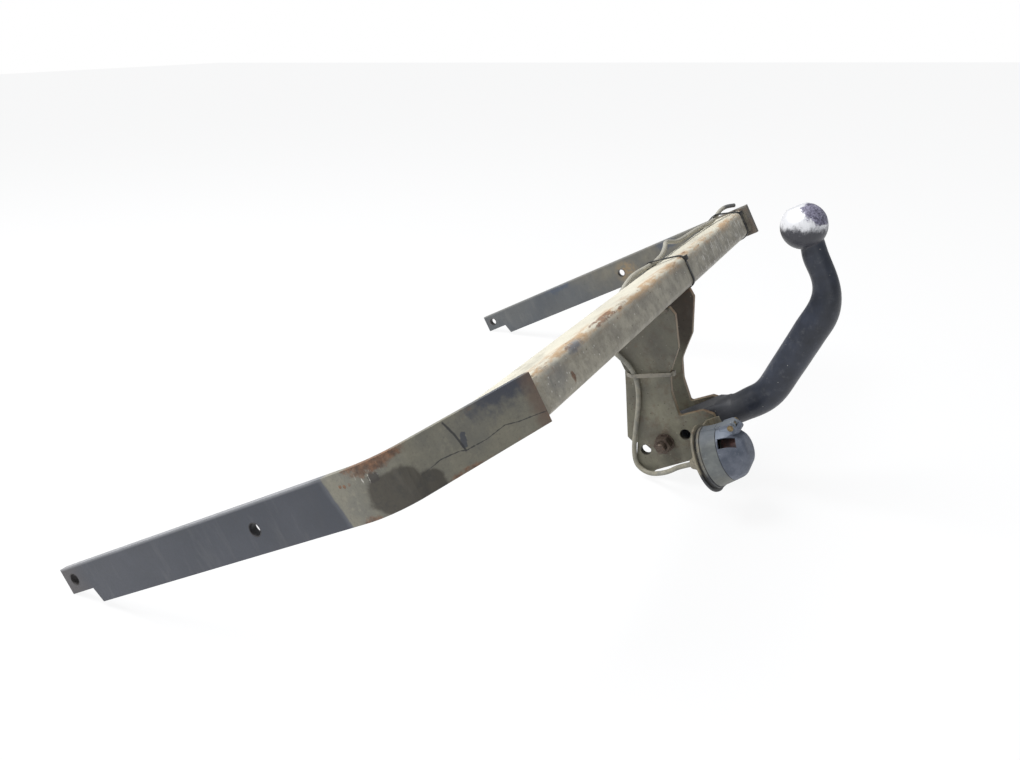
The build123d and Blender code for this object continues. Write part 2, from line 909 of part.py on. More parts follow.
def beam_tie(front_x, rear_x):
    """A tie round the beam and the cable on it, from front_x to rear_x across the beam."""
    slant = math.atan2(front_x - rear_x, beam_depth)
    band_plane = Plane(
        origin=spot((front_x + rear_x) / 2, 0, 0),
        x_dir=heading(math.sin(slant), math.cos(slant), 0),
        z_dir=heading(math.cos(slant), -math.sin(slant), 0),
    )
    reach = heading(tie_width / math.cos(slant), 0, 0)
    ring = tie_ring([cross_beam.part, socket_cable.part], band_plane, reach)
    rear_face = ring.bounding_box().min.X + tie_thickness / 2
    with BuildPart() as tie:
        with BuildSketch(band_plane):
            add(ring)
        extrude(amount=reach.length / 2, dir=reach, both=True)
        with BuildSketch(band_plane):
            with Locations((rear_face, beam_height / 2 - beam_corner)):
                Rectangle(tie_head_height, tie_head_length, align=(Align.MAX, Align.MIN))
        extrude(amount=reach.length / 2 + tie_head_lip, dir=reach, both=True)
    return tie


left_tie_front = fork_outer + fork_flare + fork_weld_leg + left_tie_gap
keep("left_beam_tie", beam_tie(left_tie_front, left_tie_front + left_tie_slant))
keep(
    "right_beam_tie",
    beam_tie(beam_right_x - right_tie_front_gap, beam_right_x - right_tie_rear_gap),
)

fork_tie_lean = math.radians(fork_tie_slope)
fork_tie_plane = Plane(
    origin=spot(0, fork_tie_forward, -fork_tie_drop),
    x_dir=level.x_dir,
    z_dir=heading(0, -math.sin(fork_tie_lean), math.cos(fork_tie_lean)),
)
fork_ring = tie_ring(
    [left_fork_plate.part, socket_cable.part],
    fork_tie_plane,
    fork_tie_plane.z_dir * tie_width,
)
with BuildPart() as fork_tie:
    with BuildSketch(fork_tie_plane):
        add(fork_ring)
    extrude(amount=tie_width / 2, both=True)
    with BuildSketch(fork_tie_plane):
        with Locations((-fork_inner, fork_ring.bounding_box().min.Y + tie_thickness / 2)):
            Rectangle(tie_head_length, tie_head_height, align=(Align.MAX, Align.MAX))
    extrude(amount=tie_width / 2 + tie_head_lip, both=True)
keep("fork_tie", fork_tie)

# The finished towbar stands on the floor, with its origin below the middle of its box
hard_pieces = [piece for name, piece in pieces.items() if name != "socket_cable"]
box = Compound(hard_pieces).bounding_box()
standing = Location((-box.center().X, -box.center().Y, -box.min.Z))
for name, piece in pieces.items():
    placed = piece.moved(standing)
    placed.label = name
    export_step(placed, f"parts/{name}.step")

print("cable radii", [round(radius, 1) for radius in cable_radii])
print("cable length", round(cable_path.wire().length, 1))
print("box", box.size, "shift", standing.position)
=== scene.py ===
import bmesh
import bpy
import json
import math
from mathutils import Matrix, Vector


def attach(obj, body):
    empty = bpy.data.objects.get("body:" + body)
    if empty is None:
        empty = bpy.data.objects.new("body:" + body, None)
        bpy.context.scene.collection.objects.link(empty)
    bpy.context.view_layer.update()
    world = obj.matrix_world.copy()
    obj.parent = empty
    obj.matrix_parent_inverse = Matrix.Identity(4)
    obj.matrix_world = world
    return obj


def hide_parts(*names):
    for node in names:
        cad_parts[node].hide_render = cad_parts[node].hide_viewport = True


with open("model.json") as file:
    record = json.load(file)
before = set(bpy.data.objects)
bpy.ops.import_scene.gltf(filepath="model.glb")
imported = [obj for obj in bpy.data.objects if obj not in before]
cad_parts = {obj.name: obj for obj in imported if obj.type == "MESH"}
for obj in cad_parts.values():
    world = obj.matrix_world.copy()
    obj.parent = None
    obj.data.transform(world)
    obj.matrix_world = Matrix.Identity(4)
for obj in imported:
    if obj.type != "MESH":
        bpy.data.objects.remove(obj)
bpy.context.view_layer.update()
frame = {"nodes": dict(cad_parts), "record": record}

# The car's frame: x to the right, y forward, z up, in millimetres from the middle of the beam.
# The towbar lies on the floor nose down, so that frame is pitched.
lying_pitch = math.radians(27.7)
beam_middle = Vector((50.007, -124.429, 239.593))
car = Matrix.Scale(0.001, 4) @ Matrix.Translation(beam_middle) @ Matrix.Rotation(-lying_pitch, 4, "X")

# The socket's frame: x to the right, y up, z along its axis to the rear, from its flange's front.
socket_tilt = math.radians(-0.5)
socket_middle = Vector((-71, -5, -196.4))
in_socket = Matrix.Translation(socket_middle) @ Matrix.Rotation(math.pi / 2 + socket_tilt, 4, "X")

# Camera, turned to the three directions that are its right, its top and its back
camera_turn = Matrix((
    (0.44678, -0.89450, -0.01623),
    (0.34059, 0.15328, 0.92763),
    (-0.82728, -0.41997, 0.37314),
)).transposed()
lens = bpy.data.cameras.new("camera")
lens.lens = 30.61
lens.sensor_width = 36
lens.clip_start = 0.01
camera = bpy.data.objects.new("camera", lens)
camera.matrix_world = Matrix.Translation((-0.9206, -0.4186, 0.5267)) @ camera_turn.to_4x4()
bpy.context.scene.collection.objects.link(camera)
bpy.context.scene.camera = camera


# Finishes
def tone(red, green, blue):
    """A colour as it looks, from 0 to 255, for a shader."""
    levels = [level / 255 for level in (red, green, blue)]
    return (*[v / 12.92 if v < 0.04 else ((v + 0.055) / 1.055) ** 2.4 for v in levels], 1)


class Reading:
    """A value that changes over a surface; arithmetic on it adds Math nodes."""

    def __init__(self, nodes, socket):
        self.nodes = nodes
        self.socket = socket

    def maths(self, operation, *values):
        return self.nodes.node("ShaderNodeMath", {"operation": operation}, dict(enumerate(values)))

    def __add__(self, other):
        return self.maths("ADD", self, other)

    def __sub__(self, other):
        return self.maths("SUBTRACT", self, other)

    def __rsub__(self, other):
        return self.maths("SUBTRACT", other, self)

    def __mul__(self, other):
        return self.maths("MULTIPLY", self, other)

    __radd__ = __add__
    __rmul__ = __mul__

    def least(self, other):
        return self.maths("MINIMUM", self, other)

    def most(self, other):
        return self.maths("MAXIMUM", self, other)

    def rise(self, low, high):
        """0 below low and 1 above high, with a soft step between; low may be the larger one."""
        return self.nodes.node(
            "ShaderNodeMapRange",
            {"interpolation_type": "SMOOTHSTEP"},
            {"Value": self, "From Min": low, "From Max": high},
        )

    def around(self, center, reach):
        """1 at center, falling to 0 at reach on both sides of it."""
        return self.rise(center - reach, center) * self.rise(center + reach, center)

    def between(self, under, over):
        """A number that goes from under to over as this goes from 0 to 1."""
        return self * (over - under) + under


class Nodes:
    """The nodes of a material or of the world."""

    def __init__(self, owner):
        owner.use_nodes = True
        self.tree = owner.node_tree
        self.tree.nodes.clear()

    def node(self, kind, settings, inputs, output=0):
        """Adds a node: its settings first, then a value or a link for each socket that is named."""
        made = self.tree.nodes.new(kind)
        for name, value in settings.items():
            setattr(made, name, value)
        for name, value in inputs.items():
            if isinstance(value, Reading):
                self.tree.links.new(value.socket, made.inputs[name])
            else:
                made.inputs[name].default_value = value
        return Reading(self, made.outputs[output]) if made.outputs else None

    def seen_by(self, *kinds):
        """1 for rays of these kinds and 0 for the light that falls on the object."""
        rays = [self.node("ShaderNodeLightPath", {}, {}, f"Is {kind} Ray") for kind in kinds]
        seen = rays[0]
        for ray in rays[1:]:
            seen = seen.most(ray)
        return seen


class Finish(Nodes):
    """A material being made; x, y and z are millimetres in the car's frame or in one inside it."""

    def __init__(self, name, inner_frame=Matrix()):
        self.material = bpy.data.materials.new(name)
        super().__init__(self.material)
        spot = self.node("ShaderNodeTexCoord", {}, {}, "Object")
        back = (car @ inner_frame).inverted()
        self.where = self.node(
            "ShaderNodeMapping",
            {},
            {
                "Vector": spot,
                "Location": back.to_translation(),
                "Rotation": back.to_euler(),
                "Scale": back.to_scale(),
            },
        )
        self.x, self.y, self.z = [
            self.node("ShaderNodeSeparateXYZ", {}, {"Vector": self.where}, axis) for axis in "XYZ"
        ]

    def vector(self, operation, inputs, output=0):
        return self.node("ShaderNodeVectorMath", {"operation": operation}, inputs, output)

    def stretched(self, x, y, z):
        """The place with each axis divided by its own length."""
        return self.vector("MULTIPLY", {0: self.where, 1: (1 / x, 1 / y, 1 / z)})

    def noise(self, grain, detail=4, roughness=0.55, place=None, distortion=0):
        """Cloudy noise from 0 to 1 with spots about as long as grain."""
        inputs = {
            "Vector": place or self.where,
            "Scale": 1 / grain,
            "Detail": detail,
            "Roughness": roughness,
            "Distortion": distortion,
        }
        return self.node("ShaderNodeTexNoise", {}, inputs)

    def speckle(self, grain, share):
        """Round spots, one in each cell of about a grain; share is how much of the cell they fill."""
        cell = self.node("ShaderNodeTexVoronoi", {}, {"Vector": self.where, "Scale": 1 / grain})
        return cell.rise(share, share * 0.6)

    def apart(self, center, reach=(1, 1, 1)):
        """Distance from a place, in lengths of reach along each axis."""
        off = self.vector("SUBTRACT", {0: self.where, 1: center})
        off = self.vector("MULTIPLY", {0: off, 1: tuple(1 / length for length in reach)})
        return self.vector("LENGTH", {0: off}, "Value")

    def nearest(self, centers, reach=(1, 1, 1)):
        """Distance from the nearest of some places, in lengths of reach along each axis."""
        off = self.apart(centers[0], reach)
        for center in centers[1:]:
            off = off.least(self.apart(center, reach))
        return off

    def patch(self, center, reach, ragged, grain, fade=0.25):
        """A spot with a ragged border: 1 inside and 0 outside, with a soft step as wide as fade."""
        off = self.apart(center, reach) + (self.noise(grain) - 0.5) * (2 * ragged)
        return off.rise(1.1, 1.1 - fade)

    def stroke(self, start, end):
        """Distance from a straight line between two places."""
        run = Vector(end) - Vector(start)
        off = self.vector("SUBTRACT", {0: self.where, 1: start})
        along = self.vector("DOT_PRODUCT", {0: off, 1: run / run.length_squared}, "Value")
        near = self.vector("SCALE", {0: run, "Scale": along.most(0).least(1)})
        return self.vector("DISTANCE", {0: off, 1: near}, "Value")

    def trace(self, *places):
        """Distance from a line of straight stretches through places."""
        off = self.stroke(places[0], places[1])
        for start, end in zip(places[1:], places[2:]):
            off = off.least(self.stroke(start, end))
        return off

    def mix(self, share, under, over):
        """A colour between two, by a share from 0 to 1; a Mix node's colours are sockets 6 and 7."""
        inputs = {0: share, 6: under, 7: over}
        return self.node("ShaderNodeMix", {"data_type": "RGBA"}, inputs, 2)

    def rust_tone(self, grain=5, detail=5, roughness=0.7):
        """Dark and light rust in cloudy spots."""
        return self.mix(self.noise(grain, detail, roughness).rise(0.3, 0.7), rust_dark, rust_light)

    def surface(self, color, roughness, height, strength, depth, metallic=0.0):
        """Ends the material in one shader; a height from 0 to 1 is a bump, depth metres high."""
        bump = self.node("ShaderNodeBump", {}, {"Height": height, "Strength": strength, "Distance": depth})
        inputs = {"Base Color": color, "Roughness": roughness, "Metallic": metallic, "Normal": bump}
        shader = self.node("ShaderNodeBsdfPrincipled", {}, inputs)
        self.node("ShaderNodeOutputMaterial", {}, {"Surface": shader})
        return self.material


# A reach so long that the distance along its axis doesn't count
endless = 1e6

rust_dark = tone(80, 61, 52)
rust_light = tone(138, 101, 76)
khaki = tone(128, 124, 108)
edge_wear = tone(150, 142, 128)

# Holes through the arms and the drop plates, along x, and about their radius
arm_holes = [(0, 488, 8.3), (0, 203, 0)]
fork_holes = [(0, 32, -175), (0, 61, -177.3), (0, 89, -179.6)]
hole_radius = 6.4


def paint(name, color, rust, streak=0.1, wear=0.5, edge_tone=edge_wear, roughness=0.5, holes=()):
    """Weathered paint: color(finish) and rust(finish) give its colour and how rusty it is; the holes' walls
    get painted shade.
    """
    finish = Finish(name)
    edge = finish.node("ShaderNodeAttribute", {"attribute_name": "edge"}, {}, "Fac")
    flakes = finish.noise(7, 6, 0.65)
    fine = finish.noise(1.6, 3)
    coat = color(finish)
    coat = finish.mix((finish.noise(55, 3) - 0.5) * 0.5 + 0.12, coat, tone(60, 60, 60))
    drips = finish.noise(1, 4, 0.6, finish.stretched(12, 12, 50))
    coat = finish.mix(((drips - 0.54) * (3 * streak)).most(0).least(0.5), coat, tone(190, 186, 174))
    coat = finish.mix(((0.44 - drips) * (3 * streak)).most(0).least(0.5), coat, tone(86, 82, 70))
    coat = finish.mix(((fine - 0.5) * 0.8).most(0), coat, tone(70, 66, 60))
    if holes:
        from_hole = finish.nearest(holes, (endless, 1, 1))
        edge = edge * from_hole.rise(hole_radius + 2.6, hole_radius + 5.6)
    scuffed = (edge * 1.2 + flakes * 1.1 + (wear * 0.5 - 1.25)).rise(0.2, 0.42)
    coat = finish.mix(scuffed * 0.75, coat, edge_tone)
    rusty = (rust(finish) + (flakes - 0.55) * 1.2 + edge * 0.12).rise(0.42, 0.82)
    coat = finish.mix(rusty * 0.85, coat, finish.rust_tone())
    if holes:
        # Painted shade: the walls of the holes are painted dark where shade falls in them.
        coat = finish.mix(from_hole.rise(hole_radius + 1, hole_radius) * 0.75, coat, tone(40, 36, 34))
    rough = rusty.between(roughness, 0.9) + (fine - 0.5) * 0.15
    height = flakes * 0.35 + fine * 0.1 + rusty * finish.noise(1.1, 4, 0.7) * 0.9
    return finish.surface(coat, rough, height, 0.45, 0.0006)


# The left arm's outer face, ahead of its bend
left_face = -511


def left_arm_color(finish):
    """Slate paint at the front, khaki behind a slanted seam, with the stain, marks and cracks, and a painted
    highlight along the top.
    """
    seam = finish.y - 102 - finish.z * 0.19 + (finish.noise(14) - 0.5) * 4
    slate = finish.mix(finish.noise(90).rise(0.35, 0.7), tone(58, 62, 71), tone(69, 72, 81))
    slate = finish.mix(seam.rise(6, 1) * 0.3, slate, tone(112, 114, 118))
    front_tip = (finish.y + (finish.noise(20) - 0.5) * 30).rise(455, 500)
    slate = finish.mix(front_tip * 0.5, slate, tone(96, 88, 84))

    back = finish.mix(finish.noise(30).rise(0.3, 0.7), khaki, tone(112, 110, 100))
    back = finish.mix(finish.noise(6, 5, 0.7).rise(0.5, 0.7) * 0.35, back, tone(150, 145, 126))
    back = finish.mix(finish.noise(4, 4, 0.7).rise(0.55, 0.7) * 0.3, back, tone(84, 82, 76))
    stained = finish.patch((-503, 48, -8), (26, 24, 18), 0.45, 16)
    stained = stained.most(finish.patch((-484, 36, -16), (16, 16, 14), 0.4, 10))
    stain = finish.mix(finish.noise(8, 4, 0.7).rise(0.45, 0.65), tone(66, 60, 50), tone(54, 50, 44))
    back = finish.mix(stained * 0.88, back, stain)
    bluish = finish.patch((-410, -10, 25), (52, 35, 24), 0.55, 7, 0.8)
    back = finish.mix(bluish * 0.85, back, tone(54, 59, 75))
    rear_band = (finish.y + finish.x * 0.05 + (finish.noise(9, 4) - 0.5) * 8).rise(-38, -45)
    back = finish.mix(rear_band * 0.65, back, tone(104, 80, 66))

    wedge = finish.trace((-449, 14, -3), (-447, 13, 5)) + (finish.noise(3) - 0.5) * 3
    back = finish.mix(wedge.rise(3, 2) * 0.8, back, tone(58, 62, 74))
    crack = finish.trace(
        (-483, 36, -6.5), (-468, 26, -3.3), (-454, 17, -5), (-449, 14, -7.2), (-433, 4, -7.7),
        (-417, -6, -5.3), (-406, -13, -8.7), (-395, -20, -10.5), (-383, -27.5, -13),
    )
    gap = finish.trace((-456, 18, 20.5), (-452, 16, 8), (-449.6, 14.3, -7)) - 0.5
    crack = (crack.least(gap) + (finish.noise(3, 4, 0.7) - 0.5) * 1.6).rise(0.65, 0.2)
    back = finish.mix(crack * 0.85, back, tone(46, 46, 48))
    scraped = finish.apart((0, 60, 9), (endless, 5, 6)) + (finish.noise(4) - 0.5) * 1.6
    back = finish.mix(scraped.rise(0.9, 0.6) * 0.8, back, tone(60, 54, 50))

    coat = finish.mix(seam.rise(-1.2, 1.2), back, slate)
    scratch = finish.noise(1, 4, 0.7, finish.stretched(2, 2, 12)).rise(0.58, 0.63)
    scratch = scratch * finish.apart((0, 62, 14), (endless, 12, 8)).rise(1.1, 0.7)
    coat = finish.mix(scratch * 0.85, coat, tone(214, 210, 198))
    # Painted highlight: the top strip is painted lighter where the light falls on it.
    painted_top_light = finish.z.rise(19.5, 22.3)
    return finish.mix(painted_top_light * finish.y.rise(90, 130) * 0.45, coat, tone(190, 190, 192))


def left_arm_rust(finish):
    """Rust behind the seam at the top, in dots, at the rear end and along the bottom."""
    near_seam = finish.apart((left_face, 55, 24), (44, 40, 16)).rise(1.3, 0.35)
    dots = finish.nearest([
        (left_face, 90.6, 11.4), (left_face, 86.5, 10.4), (left_face, 81, 10.7), (left_face, 69, -1),
    ])
    rear_end = (finish.y + finish.x * 0.05).rise(-40, -46)
    lower = finish.apart((-456, 18, -22.5), (27, 20, 7)).rise(1.2, 0.4)
    lower = lower.most(finish.apart((left_face, 76, -22.5), (30, 14, 8)).rise(1.2, 0.4))
    under = finish.z.rise(-15, -22.5) * finish.y.rise(70, 30) * 0.5
    along = finish.z.rise(4, 21) * finish.noise(60).rise(0.5, 0.7) * 0.45
    along = along * (finish.y.rise(97, 95) + 0.5)
    rust = (near_seam * 0.9).most(dots.rise(2.4, 1.2) * 0.8).most(rear_end * 0.56)
    return rust.most(lower * 0.75).most(under).most(along)


def right_arm_color(finish):
    """Slate paint that turns olive towards the beam, and brown at the rear hole, with a painted highlight
    along the top.
    """
    slate = finish.mix(finish.noise(80).rise(0.3, 0.7), tone(78, 82, 86), tone(90, 92, 92))
    olive = finish.mix(finish.noise(35).rise(0.3, 0.7), tone(112, 108, 95), tone(92, 92, 88))
    coat = finish.mix((finish.y + (finish.noise(50) - 0.5) * 160).rise(330, 210), slate, olive)
    coat = finish.mix(finish.noise(8, 5, 0.7).rise(0.55, 0.72) * 0.35, coat, tone(66, 66, 66))
    bluish = finish.patch((380, 108, 16), (20, 22, 12), 0.7, 12, 0.6)
    bluish = bluish.most(finish.patch((393, 332, 20), (20, 26, 10), 0.9, 12, 0.6))
    coat = finish.mix(bluish * 0.7, coat, tone(66, 76, 92))
    halo = finish.apart((385, 193, 0), (30, 22, 18)).rise(1.2, 0.5) * finish.noise(6, 4).rise(0.35, 0.6)
    coat = finish.mix(halo * 0.8, coat, tone(134, 114, 84))
    brown = finish.y.rise(30, -20) * finish.noise(14, 4).rise(0.3, 0.6)
    coat = finish.mix(brown * 0.6, coat, tone(112, 92, 78))
    # Painted highlight: the top is painted lighter where the light falls on it.
    return finish.mix(finish.z.rise(19, 22.3) * 0.4, coat, tone(178, 176, 170))


def right_arm_rust(finish):
    """Rust round the rear hole, at the front tip, at the beam and in spots."""
    halo = finish.apart((385, 196, 0), (30, 20, 14)).rise(1.25, 0.35) * 0.5
    tip = finish.apart((400, 488, 8), (30, 16, 14)).rise(1.2, 0.5) * 0.5
    rear = finish.y.rise(20, -30) * 0.4
    spots = finish.noise(22, 3).rise(0.6, 0.75) * finish.y.rise(360, 150) * 0.6
    return halo.most(tip).most(rear).most(spots)


def beam_color(finish):
    """Warm grey at the back, ochre along the corner between, and a painted highlight of pale cream on the top
    where the light falls.
    """
    # Painted highlight: the top, where the light falls, is painted pale cream.
    top = (finish.z + (finish.noise(40) - 0.5) * 10).rise(8, 18)
    back = 1 - top
    coat = finish.mix(finish.noise(24, 5, 0.65).rise(0.35, 0.65), tone(180, 173, 155), tone(146, 140, 126))
    coat = finish.mix(finish.noise(7, 5, 0.7).rise(0.5, 0.7) * 0.4, coat, tone(118, 112, 98))
    # Painted highlight on the top.
    coat = finish.mix(top * 0.9, coat, tone(220, 215, 197))
    grime = finish.noise(1, 5, 0.65, finish.stretched(60, 20, 12))
    coat = finish.mix(grime.rise(0.52, 0.7) * 0.35, coat, tone(112, 106, 88))
    corner = finish.apart((0, -22, 18), (endless, 15, 11)).rise(1.2, 0.2)
    ochre = corner * finish.noise(1, 5, 0.7, finish.stretched(42, 11, 11)).rise(0.42, 0.6)
    coat = finish.mix(ochre * 0.75, coat, tone(182, 142, 96))
    bare = finish.patch((-292, -24, 15), (20, 8, 7), 0.8, 8, 0.8)
    bare = bare.most(finish.patch((-345, -26, 2), (30, 10, 18), 0.9, 9, 0.9) * 0.4)
    coat = finish.mix(bare * 0.75, coat, tone(88, 96, 112))
    flecks = finish.noise(1, 3, 0.6, finish.stretched(3, 3, 12)).rise(0.56, 0.64)
    coat = finish.mix(flecks * finish.x.rise(60, 140) * back * 0.9, coat, tone(226, 222, 212))
    specks = finish.speckle(7, 0.16) * finish.noise(30).rise(0.48, 0.55) * back
    coat = finish.mix(specks * 0.8, coat, tone(222, 218, 208))
    pits = finish.speckle(9, 0.13) * finish.noise(20).rise(0.5, 0.6)
    return finish.mix(pits * 0.7, coat, tone(74, 62, 50))


def beam_rust(finish):
    """Rust along the upper rear corner, heavy in one stretch, and at the bottom and the right end."""
    corner = finish.apart((0, -22, 19), (endless, 12, 8)).rise(1.2, 0.3)
    grain = finish.noise(1, 5, 0.7, finish.stretched(46, 10, 10))
    along = corner * grain.rise(0.5, 0.62) * 0.66
    heavy = finish.apart((-205, -22, 18), (92, 9, 8)).rise(1.15, 0.3) * grain.rise(0.36, 0.5)
    spot = finish.apart((-317, -25, -6), (5, 6, 8)).rise(1.2, 0.4) * 0.85
    bottom = finish.z.rise(-13, -19.5) * 0.42
    end = finish.x.rise(345, 372) * 0.62
    return along.most(heavy * 0.85).most(spot).most(bottom).most(end)


def fork_color(finish):
    """Khaki with brown blotches, painted shade on the flares, and greasy low down at the holes."""
    coat = finish.mix(finish.noise(30).rise(0.3, 0.7), tone(117, 114, 96), tone(98, 95, 82))
    coat = finish.mix(finish.noise(13, 5, 0.7).rise(0.48, 0.68) * 0.6, coat, tone(94, 77, 60))
    coat = finish.mix(finish.noise(9, 5, 0.7).rise(0.52, 0.7) * 0.4, coat, tone(136, 131, 112))
    # Painted shade: the flares face a little downwards and are painted darker, and darker and browner still
    # on the right plate.
    flare = (finish.z + (finish.noise(20) - 0.5) * 22).rise(-96, -60)
    coat = finish.mix(flare * 0.5, coat, tone(80, 76, 66))
    coat = finish.mix(flare * finish.x.rise(-5, 5) * 0.6, coat, tone(72, 58, 52))
    grease = finish.apart((0, 58, -178), (endless, 44, 26)).rise(1.2, 0.5) * finish.noise(14).rise(0.35, 0.65)
    coat = finish.mix(grease * 0.45, coat, tone(74, 68, 56))
    pits = finish.speckle(5, 0.2) * finish.noise(16).rise(0.46, 0.58)
    coat = finish.mix(pits * 0.7, coat, tone(54, 44, 36))
    return finish.mix(finish.speckle(11, 0.1) * 0.5, coat, tone(158, 152, 138))


def fork_rust(finish):
    """Rust on the flares, most on the right plate's rear, low down, round the nut and on the lobe."""
    flare = finish.z.rise(-100, -45) * 0.4
    upper_right = flare * finish.x.rise(20, 30) * finish.y.rise(10, -16) * 1.25
    low = finish.z.rise(-150, -200) * 0.36
    nut_stain = finish.apart((-29, 61, -177), (12, 22, 18)).rise(1.2, 0.5) * 0.5
    lobe = finish.apart((0, 0, -156), (endless, 30, 12)).rise(1.2, 0.4) * 0.5
    return flare.most(upper_right).most(low).most(nut_stain).most(lobe)


def weld_color(finish):
    """Khaki with dark spots."""
    return finish.mix(finish.noise(8).rise(0.3, 0.7), tone(120, 114, 98), tone(88, 80, 70))


def weld_rust(finish):
    """Rust in spots."""
    return finish.noise(9).rise(0.4, 0.8) * 0.7


ball_y = -182
ball_z = 3
ball_radius = 25


def neck_finish():
    """Satin blue-black coating with specks; the ball is worn to bare steel on its upper half, which is
    painted near-white as a highlight, with a wrinkled skin at the rear that carries painted white glints.
    """
    finish = Finish("neck_coating")
    coat = finish.mix(finish.noise(26, 4).rise(0.3, 0.75), tone(28, 32, 41), tone(43, 48, 60))
    shank = (finish.y + (finish.noise(16) - 0.5) * 26).rise(-62, -22)
    coat = finish.mix(shank * 0.5, coat, tone(84, 84, 86))
    dust = finish.noise(9, 6, 0.7).rise(0.52, 0.75)
    coat = finish.mix(dust * 0.16, coat, tone(134, 134, 134))
    specks = finish.speckle(9, 0.07) * finish.noise(26).rise(0.5, 0.56)
    coat = finish.mix(specks * 0.8, coat, tone(184, 182, 172))

    from_ball = finish.apart((0, ball_y, ball_z))
    on_ball = from_ball.rise(ball_radius + 1.5, ball_radius + 0.6) * finish.z.rise(-22, -18)
    scrub = (finish.noise(9, 6, 0.8) - 0.5) * 30
    # Painted highlight: the ball's upper half, where the light falls, is worn steel painted near-white.
    bright = (finish.z - ball_z - (finish.y - ball_y) * 0.45 + scrub).rise(-5, 6) * on_ball
    skin = finish.patch((-9, ball_y - 20, ball_z + 10), (16, 16, 16), 0.6, 9, 0.2) * on_ball
    coat = finish.mix(on_ball, coat, tone(58, 58, 64))
    coat = finish.mix(bright, coat, tone(226, 226, 228))
    wrinkles = finish.noise(6, 5, 0.7, distortion=2)
    skin_tone = finish.mix(wrinkles.rise(0.4, 0.58), tone(78, 76, 92), tone(132, 129, 148))
    # Painted highlights: white glints on the wrinkled skin.
    skin_tone = finish.mix(wrinkles.rise(0.6, 0.68), skin_tone, tone(226, 224, 232))
    coat = finish.mix(skin, coat, skin_tone)

    bare = bright * (1 - skin)
    rough = bright.between(0.38, 0.45) + (finish.noise(3) - 0.5) * 0.2 + shank * 0.15
    height = finish.noise(2.2, 5, 0.6) * 0.3 + finish.noise(14, 2) * 0.5 + wrinkles * skin * 2.5
    return finish.surface(coat, rough, height, 0.3, 0.001, metallic=bare * 0.45)


def bracket_finish():
    """Beige primer with rust spots, and painted shade on the lower half of its ring."""
    finish = Finish("bracket_steel")
    coat = finish.mix(finish.noise(20).rise(0.3, 0.7), tone(152, 143, 122), tone(116, 112, 100))
    rusty = finish.noise(7, 5, 0.7).rise(0.55, 0.7)
    coat = finish.mix(rusty * 0.6, coat, finish.rust_tone())
    # Painted shade: the lower half of the ring is painted dark grey.
    low = (finish.z + (finish.noise(12) - 0.5) * 10).rise(-194, -204) * finish.y.rise(6, 0)
    coat = finish.mix(low * 0.95, coat, tone(46, 48, 51))
    height = finish.noise(7, 6, 0.65) * 0.4 + finish.noise(1.6, 3) * 0.2
    return finish.surface(coat, rusty * 0.3 + 0.55, height, 0.4, 0.0005)


def steel(name, clean, dirty, rust, roughness=0.45):
    """Plated metal that is going dull and rusty; rust is the share of it from 0 to 1."""
    finish = Finish(name)
    spots = finish.noise(3.2, 5, 0.7)
    rusty = spots.rise(0.78 - rust * 0.6, 0.92 - rust * 0.6)
    base = finish.mix(finish.noise(2).rise(0.3, 0.7), clean, dirty)
    coat = finish.mix(rusty, base, finish.rust_tone(1.5, 4, 0.55))
    height = spots * 0.6 + finish.noise(0.6, 3) * 0.4
    rough = rusty.between(roughness, 0.92)
    return finish.surface(coat, rough, height, 0.5, 0.0005, metallic=(1 - rusty) * 0.7)


# Along the socket's axis: the dark lines behind its flange and in front of its lid
flange_line = 3.2
lid_line = 21.2


def socket_finish(name, light, dark, dusty):
    """Blue-grey moulding with beige dirt at the flange, a stained inside and a painted highlight along the
    top.
    """
    finish = Finish(name, in_socket)
    coat = finish.mix(finish.noise(13, 5, 0.6).rise(0.3, 0.72), dark, light)
    smear = finish.noise(1, 4, 0.6, finish.stretched(20, 20, 7))
    coat = finish.mix(smear.rise(0.5, 0.75) * 0.35, coat, tone(72, 78, 90))
    # Painted highlight: the top of the moulding, where the light falls, is painted lighter.
    coat = finish.mix(finish.y.rise(20, 33) * 0.45, coat, tone(138, 146, 158))
    rim = finish.z.rise(5, 2) * finish.noise(9, 4).rise(0.25, 0.6) * finish.y.rise(-14, 8)
    coat = finish.mix(rim * dusty, coat, tone(142, 133, 114))
    low = finish.y.rise(-2, -26) * finish.z.rise(34, 12)
    coat = finish.mix(low * (dusty * 0.5), coat, tone(112, 108, 94))
    underside = finish.z.rise(flange_line + 0.6, flange_line) * finish.y.rise(-2, -12)
    coat = finish.mix(underside * dusty, coat, tone(48, 50, 54))
    seams = finish.z.around(flange_line, 0.7).most(finish.z.around(lid_line, 0.7))
    coat = finish.mix(seams * 0.75, coat, tone(34, 36, 40))
    panel = finish.z.rise(21.6, 22.2) * finish.z.rise(39.6, 39) * finish.y.rise(23, 23.6)
    panel = panel * finish.y.rise(31.6, 31) * finish.x.rise(0, -1)
    coat = finish.mix(panel * 0.6, coat, tone(150, 159, 174))
    inside = finish.apart((0, 0, 0), (1, 1, endless)).rise(19.4, 18.8) * finish.z.rise(42, 41)
    stain = finish.mix(finish.noise(6).rise(0.35, 0.65), tone(58, 42, 38), tone(112, 74, 60))
    coat = finish.mix(inside * 0.8, coat, stain)
    scratches = finish.noise(1, 3, 0.6, finish.stretched(1.2, 9, 9)).rise(0.62, 0.7)
    coat = finish.mix(scratches * 0.18, coat, tone(170, 172, 176))
    height = finish.noise(0.9, 3) * 0.35 + finish.noise(8) * 0.3
    return finish.surface(coat, finish.noise(10) * 0.25 + 0.42, height, 0.25, 0.0005)


